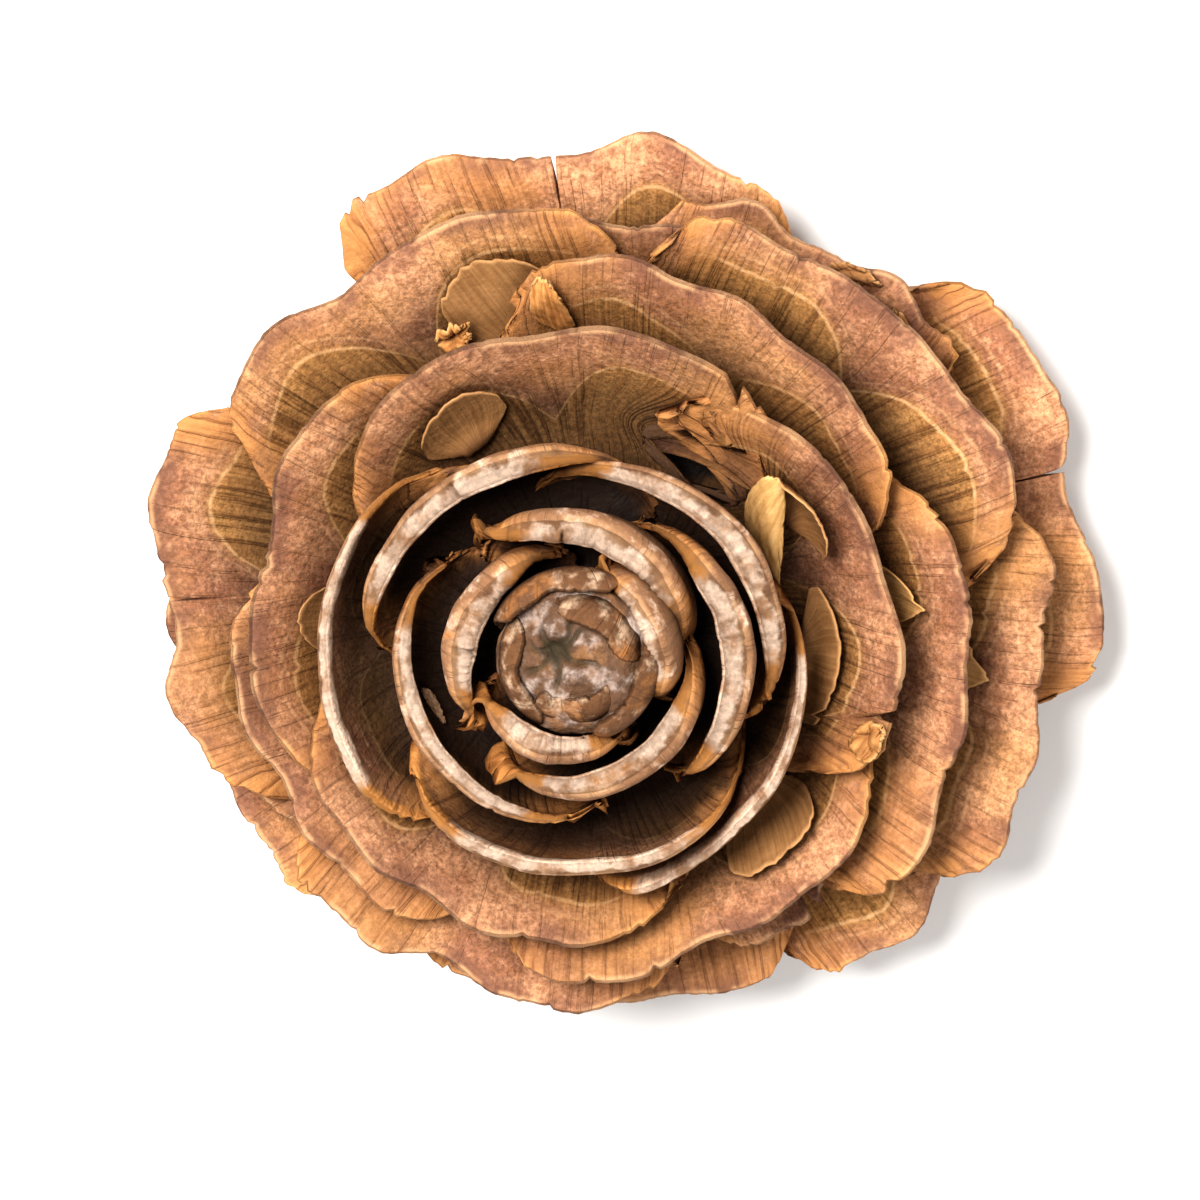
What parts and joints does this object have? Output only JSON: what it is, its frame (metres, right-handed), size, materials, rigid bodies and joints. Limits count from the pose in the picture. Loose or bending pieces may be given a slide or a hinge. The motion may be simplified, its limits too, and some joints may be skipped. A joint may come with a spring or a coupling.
{
  "type": "cedar rose cone",
  "caption": "Open rose-shaped tip of a deodar cedar cone: thin woody scales spiralling out from a closed bud, with papery seed wings caught between them, resting on its broken spindle.",
  "frame": {"origin": "middle of the spindle's flat broken end", "axes": "+Z along the spindle towards the bud; +X and +Y are the picture's right and up"},
  "size_m": [0.073, 0.0677, 0.0363],
  "materials": {
    "cone_scale": "dry, matte",
    "seed_wing": "papery, satin"
  },
  "bodies": {
    "root": {"cone": "cone_scale", "winged_seed_1": "seed_wing", "winged_seed_2": "seed_wing", "winged_seed_3": "seed_wing", "winged_seed_4": "seed_wing", "winged_seed_5": "seed_wing", "winged_seed_6": "seed_wing", "winged_seed_7": "seed_wing", "winged_seed_8": "seed_wing"}
  },
  "joints": []
}
